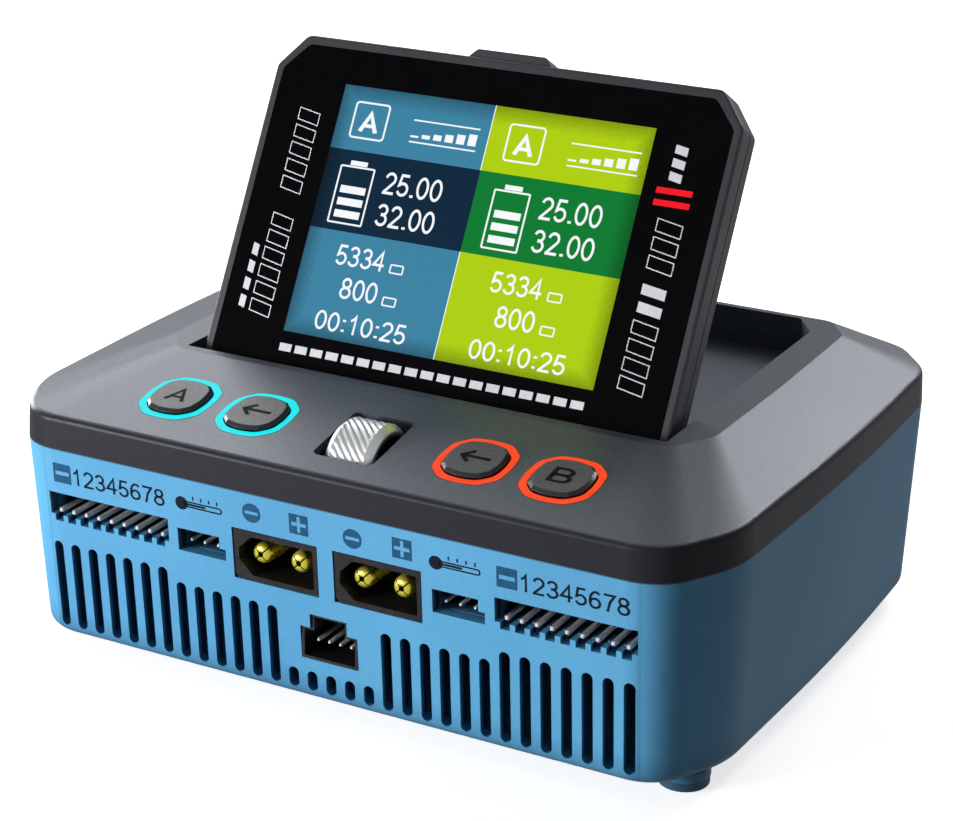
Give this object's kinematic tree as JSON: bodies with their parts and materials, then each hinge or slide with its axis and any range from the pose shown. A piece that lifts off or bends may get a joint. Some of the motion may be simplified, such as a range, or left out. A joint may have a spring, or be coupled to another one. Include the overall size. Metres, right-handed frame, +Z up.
{
  "type": "balance battery charger",
  "caption": "Box-shaped balance charger for model batteries: blue vented lower case, grey upper case with lit keys, a roller wheel and a colour screen that folds into the top.",
  "frame": {"origin": "centre of the bounding box's underside, on the plane the feet stand on", "axes": "+X to the right along the connector row, +Y from the connector face to the back, +Z up"},
  "size_m": [0.1296, 0.104, 0.0965],
  "materials": {
    "case_blue": "satin, fine texture",
    "case_grey": "metallic-grain texture",
    "foot_rubber": "soft matt",
    "steel": "zinc plated",
    "screen_shell": "satin",
    "lens_glass": "gloss, black printed edge",
    "lcd": "lit display",
    "board_green": "solder resist",
    "key_cap": "fine grain",
    "ring_cyan": "light guide, lit",
    "ring_red": "light guide, lit",
    "black_plastic": "moulded",
    "led": "clear",
    "chrome": "polished",
    "connector_black": "nylon",
    "gold": "gold plated",
    "tinned": "tin plated",
    "heat_sink": "extruded",
    "chip": "moulded",
    "inductor": "moulded iron powder",
    "capacitor": "can",
    "ribbon": "polyimide film"
  },
  "bodies": {
    "case": {"lower_case": "case_blue", "upper_case": "case_grey", "feet": "foot_rubber", "case_screws": "steel", "hinge_pins": "steel", "light_rings_a": "ring_cyan", "light_rings_b": "ring_red", "key_board": "board_green", "key_switches": "black_plastic", "key_leds": "led", "panel_screws": "steel", "roller_switch": "black_plastic", "roller_guide": "black_plastic", "output_housing_a": "connector_black", "output_housing_b": "connector_black", "output_pins_a": "gold", "output_pins_b": "gold", "balance_header_a": "connector_black", "balance_header_b": "connector_black", "balance_pins_a": "tinned", "balance_pins_b": "tinned", "temp_header_a": "connector_black", "temp_header_b": "connector_black", "temp_pins_a": "tinned", "temp_pins_b": "tinned", "data_port": "connector_black", "data_port_pins": "tinned", "main_board": "board_green", "board_screws": "steel", "heat_sink_left": "heat_sink", "heat_sink_right": "heat_sink", "mosfets": "chip", "power_inductors": "inductor", "capacitors": "capacitor", "control_chips": "chip", "buzzer": "black_plastic", "display_cable": "ribbon", "fan_frame_left": "black_plastic", "fan_frame_right": "black_plastic", "fan_screws": "steel", "dc_inlet": "connector_black", "dc_inlet_pins": "gold", "usb_socket": "tinned"},
    "screen": {"screen_front_frame": "screen_shell", "screen_back_cover": "screen_shell", "screen_lens": "lens_glass", "lcd_panel": "lcd", "display_board": "board_green", "screen_screws": "steel"},
    "channel_a_key": {"key_channel_a": "key_cap"},
    "back_a_key": {"key_back_a": "key_cap"},
    "back_b_key": {"key_back_b": "key_cap"},
    "channel_b_key": {"key_channel_b": "key_cap"},
    "roller_yoke": {"roller_carrier": "black_plastic", "roller_encoder": "black_plastic"},
    "roller": {"roller_rim": "chrome", "roller_hub": "black_plastic", "roller_axle": "steel"},
    "left_fan": {"fan_rotor_left": "black_plastic"},
    "right_fan": {"fan_rotor_right": "black_plastic"}
  },
  "joints": [
    {"name": "screen_hinge", "type": "hinge", "parent": "case", "child": "screen", "pos_m": [0, -0.01616, 0.043], "axis": [1, 0, 0], "range_deg": [-61.4, 0]},
    {"name": "channel_a_press", "type": "slide", "parent": "case", "child": "channel_a_key", "axis": [0, 0.1746, -0.9846], "range_m": [0, 0.0004], "stiffness_N_per_m": 800},
    {"name": "back_a_press", "type": "slide", "parent": "case", "child": "back_a_key", "axis": [0, 0.1746, -0.9846], "range_m": [0, 0.0004], "stiffness_N_per_m": 800},
    {"name": "back_b_press", "type": "slide", "parent": "case", "child": "back_b_key", "axis": [0, 0.1746, -0.9846], "range_m": [0, 0.0004], "stiffness_N_per_m": 800},
    {"name": "channel_b_press", "type": "slide", "parent": "case", "child": "channel_b_key", "axis": [0, 0.1746, -0.9846], "range_m": [0, 0.0004], "stiffness_N_per_m": 800},
    {"name": "roller_press", "type": "slide", "parent": "case", "child": "roller_yoke", "axis": [0, 0.1746, -0.9846], "range_m": [0, 0.0005], "stiffness_N_per_m": 3000},
    {"name": "roller_turn", "type": "hinge", "parent": "roller_yoke", "child": "roller", "pos_m": [0, -0.03868, 0.03983], "axis": [1, 0, 0], "continuous": true},
    {"name": "left_fan_spin", "type": "hinge", "parent": "case", "child": "left_fan", "pos_m": [-0.0345, 0.0433, 0.0204], "axis": [0, 1, 0], "continuous": true},
    {"name": "right_fan_spin", "type": "hinge", "parent": "case", "child": "right_fan", "pos_m": [0.0345, 0.0433, 0.0204], "axis": [0, 1, 0], "continuous": true}
  ]
}
